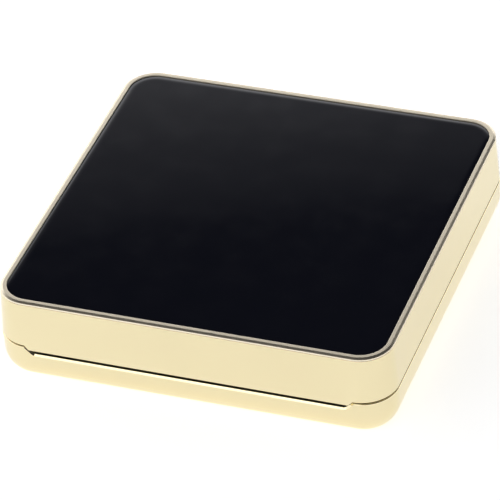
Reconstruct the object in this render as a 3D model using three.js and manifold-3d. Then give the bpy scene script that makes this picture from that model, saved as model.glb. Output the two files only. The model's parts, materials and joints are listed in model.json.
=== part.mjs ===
// Square powder compact with a hinged mirror lid, a thumb lip and a framed inlay.
// Millimetres, +Z up, front towards -Y, origin at the centre of the resting face, lid closed.
import * as THREE from 'three';
import { mergeVertices } from 'three/addons/utils/BufferGeometryUtils.js';
import Module from 'manifold-3d';

const wasm = await Module();
wasm.setup();

// ---------------------------------------------------------------- driving dimensions
const SIZE = 75.6;            // width and depth of the case at the seam
const HEIGHT = 18.2;          // floor to the top of the bezel
const SEAM_Z = 8.44;          // middle of the seam between lid and base
const SEAM_GAP = 0.2;         // dark line between the two halves
const CASE_CORNER = 6.7;      // corner radius of the case seen from above
const WALL = 1.7;             // wall of the base shell
const EASE = 0.05;            // hairline between pieces that sit together
const CUT_GAP = 0.3;          // gap round a piece that reaches into a cut-out

const BASE_DRAFT = 0.1;       // how far the base tapers in below the seam
const BASE_ROUND = 4.85;      // radius of the bottom edge
const LID_DRAFT = 0.56;       // how far the lid tapers in above the seam
const GROOVE = 0.15;          // small chamfer on both edges of the seam

const LID_TOP_Z = 17.62;      // top edge of the lid shell, under the bezel
const LID_INSIDE = 35.4;      // half width of the lid's hollow
const DECK_LOW = 15.2;        // underside of the lid's deck, which carries mirror and inlay
const DECK_HIGH = 16.2;       // upper side of the deck
const RECESS = 36.6;          // half width of the recess above the deck
const BEZEL_ROUND = 0.48;     // rounding of the bezel's outer edge
const INLAY = 36.0;           // half width of the inlay
const INLAY_CORNER = 4.89;
const INLAY_EDGE_Z = 17.96;   // inlay at its edge, a little below the bezel
const INLAY_TOP_Z = 18.07;
const INLAY_ROLL = 1.6;       // width of the sloping border of the inlay

const NOTCH_TOP = 31.25;      // half width of the finger notch at the seam
const NOTCH_BOTTOM = 29.63;   // half width of the finger notch at its ledge
const NOTCH_Z = 6.91;         // ledge of the notch
const NOTCH_ROUND = 1.0;      // lower corners of the notch
const LEDGE_CHAMFER = 0.31;
const LIP_Z = 7.95;           // lower edge of the thumb lip
const LIP_END_GAP = 0.4;
const LIP_ROUND = 0.7;        // lower corners of the lip
const LIP_FLARE = 0.3;        // how far the lip stands out at its lower edge
const LIP_CREASE_Z = 9.2;     // height where the lip starts to flare
const LIP_INNER_Y = -36.1;

const HINGE_Y = 36.05;        // hinge axis, parallel to X
const HINGE_Z = 11.44;
const KNUCKLE_R = 1.4;
const BORE_R = 0.8;
const PIN_R = 0.6;
const PIN_LENGTH = 47.4;
const SWEEP_R = 3.6;          // clearance for the lid's back edge round the axis
const HINGE_SLOT = 2.9;       // lid cut-out above the axis
const BASE_KNUCKLES = [[-24, -17], [-7, 7], [17, 24]];      // X ranges
const LID_KNUCKLES = [[-16.7, -7.3], [7.3, 16.7]];

const LABEL_R = 12.5;
const LABEL_RECESS = [13, 0.3]; // radius and depth
const FLOOR_Z = 1.5;          // inside floor of the base
const WEIGHT = 26;            // half width of the weight plate
const WEIGHT_TOP_Z = 2.75;
const TRAY = 35.8;            // half width of the tray
const TRAY_TOP_Z = 8.15;
const TRAY_SKIN = 1.0;
const WELL = 29.3;            // half width of the pan's well
const WELL_Z = 4.1;
const WELL_CORNER = 3.3;
const PAN = 29.1;             // half width of the pan
const PAN_WALL = 0.4;
const PAN_LOW = 4.36;
const PAN_HIGH = 8.0;
const POWDER_HIGH = 7.7;
const DIP_R = 9;              // finger dip beside the pan, cut with a sphere
const DIP_DEPTH = 0.6;

const MAGNET_HALF = 5;        // half length of both magnets along X
const MAGNET_BACK_Y = -30.8;
const MAGNET_FRONT_Y = -34;
const LID_MAGNET_BACK_Y = -31.8;
const LID_MAGNET_Z = [9, 11];
const BOSS_HALF = 7;          // half length of the plastic round each magnet
const POCKET = 0.3;           // room round a magnet in X, 0.2 in front of it

const MIRROR = 31.4;          // half width of the mirror glass
const FRAME_OPENING = 30.6;   // half width of the visible mirror
const FRAME_LOW = 13.4;
const MIRROR_LOW = 13.9;
const MIRROR_HIGH = 15.0;

const PUFF_R = 28.4;
const PUFF_LOW = 8.42;
const PUFF_HIGH = 13.0;
const BAND = [25.5, 6, 0.25]; // half length, half width and thickness of the finger band

const CORNER_SEGMENTS = 7;
const ROUND_SEGMENTS = 24;
const EDGE_SEGMENTS = 5;      // steps round the bottom edge
const FAR = 60;               // longer than the case, for cutters
const OVER = 1;               // how far a cutter passes the face it opens

// ---------------------------------------------------------------- finishes
const finish = (color, roughness, metalness) => ({ color, roughness, metalness });
const GOLD = finish(0xe6d9b0, 0.16, 1.0);
const PEWTER = finish(0xc4bca6, 0.3, 1.0);
const BLACK_GLOSS = finish(0x121419, 0.06, 0.0);
const BLACK_SATIN = finish(0x1c1b1a, 0.4, 0.0);
const STEEL = finish(0xb9bbbd, 0.3, 1.0);
const ALUMINIUM = finish(0xd2d3d4, 0.35, 1.0);
const SILVER_GLASS = finish(0xdfe4e6, 0.03, 1.0);
const ADHESIVE = finish(0xe9e6dc, 0.7, 0.0);
const POWDER = finish(0xdcb59a, 0.9, 0.0);
const VELOUR = finish(0xe9d9c6, 0.95, 0.0);
const SATIN = finish(0x1a1a1d, 0.45, 0.0);
const CLEAR_FILM = finish(0xe8eef0, 0.1, 0.0);
const MAGNET = finish(0x9a9c9f, 0.3, 1.0);
const PAPER = finish(0xd8ccaa, 0.5, 0.2);

// ---------------------------------------------------------------- shapes
function squareShape(half, corner) {
  const core = half - corner;
  const shape = new THREE.Shape();
  shape.absarc(core, core, corner, 0, Math.PI / 2);
  shape.absarc(-core, core, corner, Math.PI / 2, Math.PI);
  shape.absarc(-core, -core, corner, Math.PI, 1.5 * Math.PI);
  shape.absarc(core, -core, corner, 1.5 * Math.PI, 2 * Math.PI);
  shape.closePath();
  return shape;
}

// A rounded square carried up through levels [z, inset]: each level is the outline moved
// inwards by its inset, square to the edge, so a wall can taper and an edge can be rounded.
function squareLoft(half, corner, levels) {
  const steps = levels.length - 1;
  const core = half - corner;
  const geometry = new THREE.ExtrudeGeometry(squareShape(half, corner), {
    depth: steps, steps, bevelEnabled: false, curveSegments: CORNER_SEGMENTS,
  });
  const position = geometry.attributes.position;
  for (let i = 0; i < position.count; i++) {
    const [z, inset] = levels[Math.round(position.getZ(i))];
    const x = position.getX(i);
    const y = position.getY(i);
    const coreX = THREE.MathUtils.clamp(x, -core, core);
    const coreY = THREE.MathUtils.clamp(y, -core, core);
    const keep = (corner - inset) / corner;
    position.setXYZ(i, coreX + (x - coreX) * keep, coreY + (y - coreY) * keep, z);
  }
  return geometry;
}

const squarePlate = (half, corner, low, high) => squareLoft(half, corner, [[low, 0], [high, 0]]);

function box(x, y, z) {
  const geometry = new THREE.BoxGeometry(x[1] - x[0], y[1] - y[0], z[1] - z[0]);
  return geometry.translate((x[0] + x[1]) / 2, (y[0] + y[1]) / 2, (z[0] + z[1]) / 2);
}

// A cylinder along X on the hinge axis.
function hingeCylinder(radius, x) {
  const geometry = new THREE.CylinderGeometry(radius, radius, x[1] - x[0], ROUND_SEGMENTS);
  geometry.rotateZ(Math.PI / 2);
  return geometry.translate((x[0] + x[1]) / 2, HINGE_Y, HINGE_Z);
}

// A closed outline [radius, z] turned round a vertical axis.
function turned(points, segments, x = 0, y = 0) {
  const profile = points.map(([radius, z]) => new THREE.Vector2(radius, z));
  const geometry = new THREE.LatheGeometry(profile, segments);
  geometry.rotateX(Math.PI / 2);
  return geometry.translate(x, y, 0);
}

const disc = (radius, low, high, x = 0, y = 0) =>
  turned([[0, low], [radius, low], [radius, high], [0, high]], 2 * ROUND_SEGMENTS, x, y);

// An outline in X and Z, carried along Y between two depths.
function slabAlongY(shape, nearY, farY) {
  const geometry = new THREE.ExtrudeGeometry(shape, {
    depth: farY - nearY, bevelEnabled: false, curveSegments: EDGE_SEGMENTS,
  });
  geometry.rotateX(Math.PI / 2);
  return geometry.translate(0, farY, 0);
}

// The finger notch's outline: slanted ends and rounded lower corners.
function notchShape(topHalf, bottomHalf, low, high, seam, round) {
  const slope = (topHalf - bottomHalf) / (seam - low);
  const reach = topHalf + (high - seam) * slope;
  const shape = new THREE.Shape();
  shape.moveTo(-reach, high);
  shape.lineTo(-bottomHalf - round * slope, low + round);
  shape.quadraticCurveTo(-bottomHalf, low, -bottomHalf + round, low);
  shape.lineTo(bottomHalf - round, low);
  shape.quadraticCurveTo(bottomHalf, low, bottomHalf + round * slope, low + round);
  shape.lineTo(reach, high);
  shape.closePath();
  return shape;
}

// ---------------------------------------------------------------- solids
function solid(geometry) {
  const bare = geometry.clone();
  bare.deleteAttribute('normal');
  bare.deleteAttribute('uv');
  const merged = mergeVertices(bare, 1e-5);
  const vertProperties = new Float32Array(merged.attributes.position.array);
  const triVerts = new Uint32Array(merged.index.array);
  return new wasm.Manifold(new wasm.Mesh({ numProp: 3, vertProperties, triVerts }));
}

const join = (body, ...geometries) => geometries.reduce((sum, g) => sum.add(solid(g)), body);
const cut = (body, ...geometries) => geometries.reduce((rest, g) => rest.subtract(solid(g)), body);

function piece(name, body, look) {
  const { vertProperties, triVerts } = body.getMesh();
  const geometry = new THREE.BufferGeometry();
  geometry.setAttribute('position', new THREE.BufferAttribute(vertProperties, 3));
  geometry.setIndex(new THREE.BufferAttribute(triVerts, 1));
  geometry.computeVertexNormals();
  const mesh = new THREE.Mesh(geometry, new THREE.MeshStandardMaterial(look));
  mesh.name = name;
  return mesh;
}

// ---------------------------------------------------------------- base
const half = SIZE / 2;
const baseTop = SEAM_Z - SEAM_GAP / 2;
const lidBottom = SEAM_Z + SEAM_GAP / 2;
const insideHalf = half - WALL;
const insideRound = BASE_ROUND - WALL;

// Levels of a rounded lower edge, from the flat face up to the wall.
function roundedEdge(low, radius, wallInset) {
  const levels = [];
  for (let i = 0; i <= EDGE_SEGMENTS; i++) {
    const angle = (Math.PI / 2) * (1 - i / EDGE_SEGMENTS);
    levels.push([low + radius * (1 - Math.sin(angle)), wallInset + radius * (1 - Math.cos(angle))]);
  }
  return levels;
}

function baseShell() {
  const outside = squareLoft(half, CASE_CORNER, [
    ...roundedEdge(0, BASE_ROUND, BASE_DRAFT),
    [baseTop - GROOVE, 0],
    [baseTop, GROOVE],
  ]);
  const inside = squareLoft(insideHalf, CASE_CORNER - WALL, [
    ...roundedEdge(FLOOR_Z, insideRound, BASE_DRAFT),
    [baseTop + OVER, 0],
  ]);
  let shell = cut(solid(outside), inside, hingeCylinder(SWEEP_R, [-FAR, FAR]));

  const notch = notchShape(NOTCH_TOP, NOTCH_BOTTOM, NOTCH_Z, SEAM_Z + OVER, SEAM_Z, NOTCH_ROUND);
  shell = cut(shell, slabAlongY(notch, -half - OVER, -insideHalf + OVER));
  const side = LEDGE_CHAMFER * Math.SQRT2;
  const chamfer = new THREE.BoxGeometry(2 * NOTCH_BOTTOM, side, side);
  chamfer.rotateX(Math.PI / 4);
  shell = cut(shell, chamfer.translate(0, -half + BASE_DRAFT / 3, NOTCH_Z));

  for (const x of BASE_KNUCKLES) {
    const inner = HINGE_Y - KNUCKLE_R;
    const outer = HINGE_Y + KNUCKLE_R;
    shell = join(shell, box(x, [inner, outer], [baseTop, HINGE_Z]), hingeCylinder(KNUCKLE_R, x));
    shell = join(shell, box(x, [insideHalf - EASE, outer], [BASE_ROUND, baseTop + EASE]));
    shell = cut(shell, hingeCylinder(BORE_R, [x[0] - OVER, x[1] + OVER]));
  }
  const [recessRadius, recessDepth] = LABEL_RECESS;
  return cut(shell, disc(recessRadius, -OVER, recessDepth));
}

function innerTray() {
  const block = squareLoft(TRAY, 4.4, [
    ...roundedEdge(FLOOR_Z + EASE, insideRound, BASE_DRAFT),
    [TRAY_TOP_Z - 0.3, 0],
    [TRAY_TOP_Z, 0.3],
  ]);
  const well = squarePlate(WELL, WELL_CORNER, WELL_Z, TRAY_TOP_Z + OVER);
  const under = squarePlate(WELL + 2, 3, 0, WELL_Z - TRAY_SKIN);
  const channel = cut(
    solid(squarePlate(TRAY - TRAY_SKIN, 3.4, WELL_Z - TRAY_SKIN - EASE, TRAY_TOP_Z - TRAY_SKIN)),
    squarePlate(WELL + TRAY_SKIN, WELL_CORNER + TRAY_SKIN, 0, TRAY_TOP_Z),
  );
  let tray = cut(solid(block), well, under).subtract(channel);
  const post = box([-BOSS_HALF, BOSS_HALF], [-TRAY + 0.5, -WELL - 0.5], [WELL_Z, TRAY_TOP_Z - 0.5]);
  tray = join(tray, post);
  const pocketX = [-MAGNET_HALF - POCKET, MAGNET_HALF + POCKET];
  const pocketY = [MAGNET_FRONT_Y - 0.2, MAGNET_BACK_Y + 0.2];
  tray = cut(tray, box(pocketX, pocketY, [WELL_Z - OVER, TRAY_TOP_Z - 0.7]));
  const fingerDip = new THREE.SphereGeometry(DIP_R, ROUND_SEGMENTS, ROUND_SEGMENTS / 2);
  tray = cut(tray, fingerDip.translate(TRAY - 3.2, 0, TRAY_TOP_Z + DIP_R - DIP_DEPTH));
  return cut(tray, hingeCylinder(SWEEP_R, [-FAR, FAR]));
}

function powderPan() {
  const outside = squareLoft(PAN, WELL_CORNER - 0.2, [[PAN_LOW, 0.7], [PAN_LOW + 0.7, 0], [PAN_HIGH, 0]]);
  const inside = squareLoft(PAN - PAN_WALL, WELL_CORNER - 0.6, [
    [PAN_LOW + PAN_WALL, 0.6],
    [PAN_LOW + PAN_WALL + 0.6, 0],
    [PAN_HIGH + OVER, 0],
  ]);
  return cut(solid(outside), inside);
}

function powderCake() {
  const low = PAN_LOW + PAN_WALL + EASE;
  return solid(squareLoft(PAN - PAN_WALL - EASE, WELL_CORNER - 0.7, [
    [low, 0.6],
    [low + 0.6, 0],
    [POWDER_HIGH - 0.4, 0],
    [POWDER_HIGH, 0.8],
  ]));
}

// ---------------------------------------------------------------- puff
function puff() {
  const middle = (PUFF_LOW + PUFF_HIGH) / 2;
  const rise = (PUFF_HIGH - PUFF_LOW) / 2;
  const points = [[0, PUFF_LOW]];
  const edgeSteps = 2 * EDGE_SEGMENTS;
  for (let i = 0; i <= edgeSteps; i++) {
    const angle = -Math.PI / 2 + (Math.PI * i) / edgeSteps;
    points.push([PUFF_R - rise + rise * Math.cos(angle), middle + rise * Math.sin(angle)]);
  }
  points.push([0, PUFF_HIGH]);
  return solid(turned(points, 2 * ROUND_SEGMENTS));
}

function fingerBand() {
  const [length, width, thick] = BAND;
  const low = PUFF_HIGH + EASE;
  return solid(box([-length, length], [-width, width], [low, low + thick]));
}

// ---------------------------------------------------------------- lid
function lidShell() {
  const outside = squareLoft(half, CASE_CORNER, [
    [lidBottom, GROOVE],
    [lidBottom + GROOVE, 0],
    [LID_TOP_Z - GROOVE, LID_DRAFT],
    [LID_TOP_Z, LID_DRAFT + 0.06],
  ]);
  const hollow = squareLoft(LID_INSIDE, CASE_CORNER - 2.1, [
    [0, 0],
    [DECK_LOW - 0.6, 0.1],
    [DECK_LOW, 0.6],
  ]);
  const recess = squarePlate(RECESS, CASE_CORNER - 0.9, DECK_HIGH, LID_TOP_Z + OVER);
  let shell = cut(solid(outside), hollow, recess);

  const wallOuter = HINGE_Y + KNUCKLE_R;
  for (const x of BASE_KNUCKLES) {
    const slot = [x[0] - CUT_GAP, x[1] + CUT_GAP];
    shell = cut(shell, box(slot, [HINGE_Y - 3, half + OVER], [0, HINGE_Z + HINGE_SLOT]));
  }
  for (const x of LID_KNUCKLES) {
    const block = box(x, [HINGE_Y - KNUCKLE_R, wallOuter], [lidBottom, HINGE_Z + HINGE_SLOT]);
    shell = cut(join(shell, block), hingeCylinder(BORE_R, [x[0] - OVER, x[1] + OVER]));
  }

  const section = new THREE.Shape();
  section.moveTo(-LIP_INNER_Y, LIP_CREASE_Z + 0.6);
  section.lineTo(-LIP_INNER_Y, LIP_Z);
  section.lineTo(half + LIP_FLARE - 0.1, LIP_Z);
  section.lineTo(half + LIP_FLARE, LIP_Z + 0.1);
  section.lineTo(half - 0.01, LIP_CREASE_Z);
  section.lineTo(half - 0.6, LIP_CREASE_Z + 0.6);
  section.closePath();
  const bar = new THREE.ExtrudeGeometry(section, { depth: 2 * FAR, bevelEnabled: false });
  bar.translate(0, 0, -FAR);
  bar.rotateX(Math.PI / 2);
  bar.rotateZ(-Math.PI / 2);
  const slope = (NOTCH_TOP - NOTCH_BOTTOM) / (SEAM_Z - NOTCH_Z);
  const lipTop = NOTCH_TOP - LIP_END_GAP;
  const lipBottom = lipTop - slope * (SEAM_Z - LIP_Z);
  const ends = notchShape(lipTop, lipBottom, LIP_Z - 0.01, LIP_CREASE_Z + OVER, SEAM_Z, LIP_ROUND);
  const lip = solid(bar).intersect(solid(slabAlongY(ends, -half - OVER, LIP_INNER_Y + OVER)));
  return shell.add(lip);
}

function bezel() {
  const ring = squareLoft(half - LID_DRAFT, CASE_CORNER - LID_DRAFT, [
    [LID_TOP_Z + EASE, 0],
    ...roundedEdge(-HEIGHT, BEZEL_ROUND, 0).reverse().map(([z, inset]) => [-z, inset]),
  ]);
  const skirt = squarePlate(RECESS - EASE, CASE_CORNER - OVER, DECK_HIGH + EASE, LID_TOP_Z + 2 * EASE);
  const opening = squareLoft(INLAY + EASE, INLAY_CORNER, [
    [0, 0],
    [HEIGHT - 0.15, 0],
    [HEIGHT + 0.1, -0.25],
  ]);
  return cut(join(solid(ring), skirt), opening);
}

function inlay() {
  const low = DECK_HIGH + 0.3;
  return solid(squareLoft(INLAY, INLAY_CORNER, [
    [low, 0],
    [INLAY_EDGE_Z - 0.12, 0],
    [INLAY_EDGE_Z, 0.12],
    [INLAY_TOP_Z, INLAY_ROLL],
  ]));
}

function mirrorFrame() {
  const outer = LID_INSIDE - 0.25;
  const board = squareLoft(outer, 4, [
    [FRAME_LOW, 0.4],
    [FRAME_LOW + 0.4, 0],
    [DECK_LOW - 0.65, 0],
    [DECK_LOW - 0.1, 0.45],
  ]);
  const opening = squareLoft(FRAME_OPENING, 3.4, [
    [FRAME_LOW - 0.1, -0.35],
    [MIRROR_LOW - EASE, 0.1],
    [DECK_LOW, 0.1],
  ]);
  const rabbet = squarePlate(MIRROR + EASE, 3.8, MIRROR_LOW - EASE, DECK_LOW + OVER);
  let frame = cut(solid(board), opening, rabbet);
  const bossY = [MAGNET_FRONT_Y - 0.9, -FRAME_OPENING - 0.4];
  frame = join(frame, box([-BOSS_HALF, BOSS_HALF], bossY, [8.9, FRAME_LOW + 0.5]));
  const pocketX = [-MAGNET_HALF - POCKET, MAGNET_HALF + POCKET];
  const pocketY = [MAGNET_FRONT_Y - 0.2, LID_MAGNET_BACK_Y + 0.2];
  frame = cut(frame, box(pocketX, pocketY, [8, LID_MAGNET_Z[1] + 0.2]));
  const backY = HINGE_Y - KNUCKLE_R - CUT_GAP;
  const backZ = HINGE_Z + HINGE_SLOT + CUT_GAP;
  return cut(frame, box([-FAR, FAR], [backY, FAR], [0, backZ]));
}

// ---------------------------------------------------------------- assembly
const magnet = (name, y, z) =>
  piece(name, solid(box([-MAGNET_HALF, MAGNET_HALF], y, z)), MAGNET);

const plate = (name, halfSize, corner, low, high, look) =>
  piece(name, solid(squarePlate(halfSize, corner, low, high)), look);

const base = new THREE.Group();
base.add(
  piece('base_shell', baseShell(), GOLD),
  piece('base_label', solid(disc(LABEL_R, 0.12, 0.27)), PAPER),
  plate('base_weight', WEIGHT, 3, FLOOR_Z + EASE, WEIGHT_TOP_Z, STEEL),
  piece('inner_tray', innerTray(), BLACK_SATIN),
  magnet('base_magnet', [MAGNET_FRONT_Y, MAGNET_BACK_Y], [5.5, TRAY_TOP_Z - 0.75]),
  plate('pan_adhesive', 22, 4, WELL_Z + 0.03, PAN_LOW - 0.03, ADHESIVE),
  piece('powder_pan', powderPan(), ALUMINIUM),
  piece('powder_cake', powderCake(), POWDER),
  plate('powder_film', 30.6, 3.6, TRAY_TOP_Z + 0.03, TRAY_TOP_Z + 0.15, CLEAR_FILM),
  piece('hinge_pin', solid(hingeCylinder(PIN_R, [-PIN_LENGTH / 2, PIN_LENGTH / 2])), STEEL),
);

const applicator = new THREE.Group();
applicator.add(
  piece('puff', puff(), VELOUR),
  piece('puff_ribbon', fingerBand(), SATIN),
);

const lid = new THREE.Group();
lid.add(
  piece('lid_shell', lidShell(), GOLD),
  piece('lid_bezel', bezel(), PEWTER),
  plate('inlay_adhesive', 33, 4, DECK_HIGH + 0.04, DECK_HIGH + 0.26, ADHESIVE),
  piece('lid_inlay', inlay(), BLACK_GLOSS),
  plate('mirror_adhesive', 27, 3, MIRROR_HIGH + 0.03, DECK_LOW - 0.03, ADHESIVE),
  plate('mirror', MIRROR, 3.7, MIRROR_LOW, MIRROR_HIGH, SILVER_GLASS),
  piece('mirror_frame', mirrorFrame(), BLACK_SATIN),
  magnet('lid_magnet', [MAGNET_FRONT_Y, LID_MAGNET_BACK_Y], LID_MAGNET_Z),
);

const compact = new THREE.Group();
compact.add(base, applicator, lid);

export default compact;
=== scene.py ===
"""Square powder compact: fine surfaces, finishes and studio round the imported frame.

Everything is in metres in the frame's own axes: +Z up, front towards -Y, lid closed.
"""

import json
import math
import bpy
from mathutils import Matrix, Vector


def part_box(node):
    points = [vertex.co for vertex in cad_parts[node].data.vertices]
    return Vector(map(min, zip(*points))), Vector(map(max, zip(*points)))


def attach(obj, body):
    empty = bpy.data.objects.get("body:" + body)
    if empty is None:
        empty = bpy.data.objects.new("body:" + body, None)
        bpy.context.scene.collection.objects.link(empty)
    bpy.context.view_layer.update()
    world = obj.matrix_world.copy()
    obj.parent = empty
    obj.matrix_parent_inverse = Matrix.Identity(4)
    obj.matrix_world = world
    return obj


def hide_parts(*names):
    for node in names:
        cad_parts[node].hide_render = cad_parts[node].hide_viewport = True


bl_info = {
    "name": "Powder Compact",
    "version": (1, 0, 0),
    "blender": (4, 5, 0),
    "location": "View3D > Sidebar > Compact",
    "description": "Builds the shells, inlay, mirror, powder and puff of a square compact",
    "category": "Object",
}

import bmesh
import bpy
import numpy as np
from bpy.props import FloatProperty, FloatVectorProperty, PointerProperty
from mathutils import Matrix, Vector

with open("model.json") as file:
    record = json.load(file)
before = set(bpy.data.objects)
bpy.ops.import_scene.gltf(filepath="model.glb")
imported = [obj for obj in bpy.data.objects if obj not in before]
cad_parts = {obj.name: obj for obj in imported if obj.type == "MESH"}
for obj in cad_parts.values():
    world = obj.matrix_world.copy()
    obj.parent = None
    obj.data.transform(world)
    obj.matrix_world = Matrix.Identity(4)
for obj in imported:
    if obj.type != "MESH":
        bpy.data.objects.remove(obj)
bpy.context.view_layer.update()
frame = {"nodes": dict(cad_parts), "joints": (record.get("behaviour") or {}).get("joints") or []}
MM = 0.001


def linear(code):
    """A colour written as sRGB hex, turned to the linear values that shaders use."""
    srgb = np.array([int(code[i : i + 2], 16) for i in (0, 2, 4)]) / 255
    value = np.where(srgb <= 0.04045, srgb / 12.92, ((srgb + 0.055) / 1.055) ** 2.4)
    return tuple(float(v) for v in value)


def length(name, description, default_mm):
    """A length property whose default is given in millimetres."""
    return FloatProperty(
        name=name, description=description, default=default_mm * MM, precision=5,
        min=0.0, subtype="DISTANCE", unit="LENGTH",
    )


def colour(name, description, code):
    """A colour property whose default is given as sRGB hex."""
    return FloatVectorProperty(
        name=name, description=description, default=linear(code), size=3,
        min=0.0, max=1.0, subtype="COLOR",
    )


# ------------------------------------------------------------------ settings
class CompactCase(bpy.types.PropertyGroup):
    """Sizes and colours of the two shells, the bezel and the inlay."""

    half: length("Half width", "Half the case's width at the seam", 37.8)
    corner: length("Corner", "Corner radius of the case seen from above", 6.7)
    seam: length("Seam height", "Middle of the seam above the floor", 8.44)
    seam_gap: length("Seam gap", "Gap between lid and base", 0.2)
    groove: length("Seam groove", "Rounding on both edges of the seam", 0.28)
    base_draft: length("Base draft", "How far the base tapers in", 0.1)
    base_round: length("Base edge", "Radius of the bottom edge", 4.85)
    wall: length("Wall", "Wall of the base shell", 1.7)
    lid_draft: length("Lid draft", "How far the lid tapers in", 0.56)
    lid_top: length("Lid edge", "Top edge of the lid shell", 17.62)
    rim_top: length("Rim top", "Top of the bezel", 18.2)
    inlay_edge: length("Inlay edge", "Height of the inlay at its edge", 17.97)
    gold: colour("Gold", "Metallised shell", "ECDFB6")
    pewter: colour("Bezel", "Satin bezel", "EFE4CC")
    black: colour("Inlay", "Polished inlay", "080A16")


class CompactInside(bpy.types.PropertyGroup):
    """Sizes and colours of what the lid covers."""

    emboss: length("Emboss", "Depth of the pattern pressed into the powder", 0.28)
    pitch: length("Pattern pitch", "Spacing of the pressed lines", 5.2)
    puff_seam: length("Puff seam", "Width of the puff's welded edge", 1.1)
    powder: colour("Powder", "Pressed powder", "EBC4A4")
    velour: colour("Velour", "Flocked side of the puff", "F6E6D4")
    ribbon: colour("Ribbon", "Satin band of the puff", "1B1B20")
    plastic: colour("Tray", "Moulded tray and mirror frame", "1A1918")
    silver: colour("Mirror", "Silvered glass", "EEF2F3")


class CompactStudio(bpy.types.PropertyGroup):
    """The camera, the floor and the light."""

    azimuth: FloatProperty(
        name="Azimuth", description="Turn of the camera to the right of the front",
        default=math.radians(22.132), subtype="ANGLE", unit="ROTATION",
    )
    elevation: FloatProperty(
        name="Elevation", description="Height of the camera as an angle",
        default=math.radians(37.306), subtype="ANGLE", unit="ROTATION",
    )
    roll: FloatProperty(
        name="Roll", description="Tilt of the camera about its own axis",
        default=math.radians(-4.651), subtype="ANGLE", unit="ROTATION",
    )
    distance: length("Distance", "Camera to the middle of the inlay", 706.6)
    aside: FloatProperty(
        name="Aside", description="Move of the camera to its right",
        default=-0.494 * MM, precision=5, subtype="DISTANCE", unit="LENGTH",
    )
    above: FloatProperty(
        name="Above", description="Move of the camera upwards in its own frame",
        default=-7.513 * MM, precision=5, subtype="DISTANCE", unit="LENGTH",
    )
    lens: FloatProperty(
        name="Lens", description="Focal length on a 36 mm sensor", default=276.1,
        subtype="DISTANCE_CAMERA", unit="CAMERA",
    )
    floor: colour("Floor", "Pale floor", "F4F4F4")
    key: FloatProperty(
        name="Key", description="Power of the large overhead softbox", default=3.7,
        min=0.0, subtype="POWER", unit="POWER",
    )
    glow: FloatProperty(
        name="Floor glow", description="Light that the table gives by itself", default=0.58,
        min=0.0, max=1.0,
    )


# ------------------------------------------------------------------ outlines
def fillet(points, radii, steps=6):
    """Rounds the corners of a polyline: each corner becomes an arc that touches both its
    sides, with a point just before and after it so that the flat stretches stay flat."""
    points = np.asarray(points, float)
    out = [points[:1]]
    for before, at, after, radius in zip(points, points[1:], points[2:], radii):
        a = (before - at) / np.linalg.norm(before - at)
        b = (after - at) / np.linalg.norm(after - at)
        opening = math.acos(float(np.clip(a @ b, -1, 1)))
        if radius <= 0 or opening > math.pi - 1e-3:
            out.append(at[None])
            continue
        reach = radius / math.tan(opening / 2)
        centre = at + (a + b) / np.linalg.norm(a + b) * radius / math.sin(opening / 2)
        start, end = at + a * reach, at + b * reach
        turn = np.linspace(0, math.pi - opening, steps + 1)[:, None]
        u = (start - centre) / radius
        v = (end - centre) / radius
        side = (v - u * (u @ v)) / np.linalg.norm(v - u * (u @ v))
        arc = centre + radius * (u * np.cos(turn) + side * np.sin(turn))
        guard = 0.3 * radius
        out += [(start + a * guard)[None], arc, (end + b * guard)[None]]
    out.append(points[-1:])
    return np.concatenate(out)


def square_path(per_corner=22):
    """Places round a square, counter-clockwise: signs in -1..1 for the core and outward
    normals, so that a ring is signs * core + normals * corner radius."""
    turn = np.linspace(0, math.pi / 2, per_corner)
    along = np.array([0.004, 0.03, 0.15, 0.32, 0.5, 0.68, 0.85, 0.97, 0.996])
    signs, normals = [], []
    for k in range(4):
        angle = turn + k * math.pi / 2
        middle = math.pi / 4 + k * math.pi / 2
        here = np.sign([math.cos(middle), math.sin(middle)])
        there = np.array([-here[1], here[0]])
        signs += [np.repeat(here[None], per_corner, 0), here + (there - here) * along[:, None]]
        normal = np.stack([np.cos(angle), np.sin(angle)], 1)
        normals += [normal, np.repeat(normal[-1:], len(along), 0)]
    return np.concatenate(signs), np.concatenate(normals)


SIGNS, NORMALS = square_path()


def corner_rule(half, core, least):
    """Corner radius at each half width: the core stays square until the radius is least."""
    return np.maximum(half - core, least)


# ------------------------------------------------------------------ meshes
def new_mesh(name, points, faces):
    """A mesh object in the scene from points and face index rows or lists."""
    mesh = bpy.data.meshes.new(name)
    mesh.from_pydata(np.asarray(points).tolist(), [], [list(map(int, f)) for f in faces])
    mesh.validate()
    mesh.update()
    piece = bpy.data.objects.new(name, mesh)
    bpy.context.scene.collection.objects.link(piece)
    return piece


def strips(levels, count, wrap):
    """Quads between the successive rings of a grid whose rows close on themselves."""
    rows = levels if wrap else levels - 1
    i = np.arange(rows)[:, None]
    j = np.arange(count)[None, :]
    up, on = (i + 1) % levels, (j + 1) % count
    quads = np.stack([i * count + j, i * count + on, up * count + on, up * count + j], -1)
    return quads.reshape(-1, 4).tolist()


def square_loft(name, outline, core, least=0.0, ring=False):
    """A rounded square swept up an outline of (half width, height): each outline point is
    one ring. Without ring the first and last rings are capped, with it the outline closes."""
    outline = np.asarray(outline, float)
    half, height = outline[:, 0], outline[:, 1]
    corner = corner_rule(half, core, least)
    flat = SIGNS[None] * (half - corner)[:, None, None] + NORMALS[None] * corner[:, None, None]
    up = np.broadcast_to(height[:, None, None], flat.shape[:2] + (1,))
    points = np.concatenate([flat, up], -1).reshape(-1, 3)
    count = len(SIGNS)
    faces = strips(len(outline), count, ring)
    if not ring:
        last = (len(outline) - 1) * count
        faces += [list(range(count))[::-1], list(range(last, last + count))]
    return new_mesh(name, points, faces)


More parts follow.
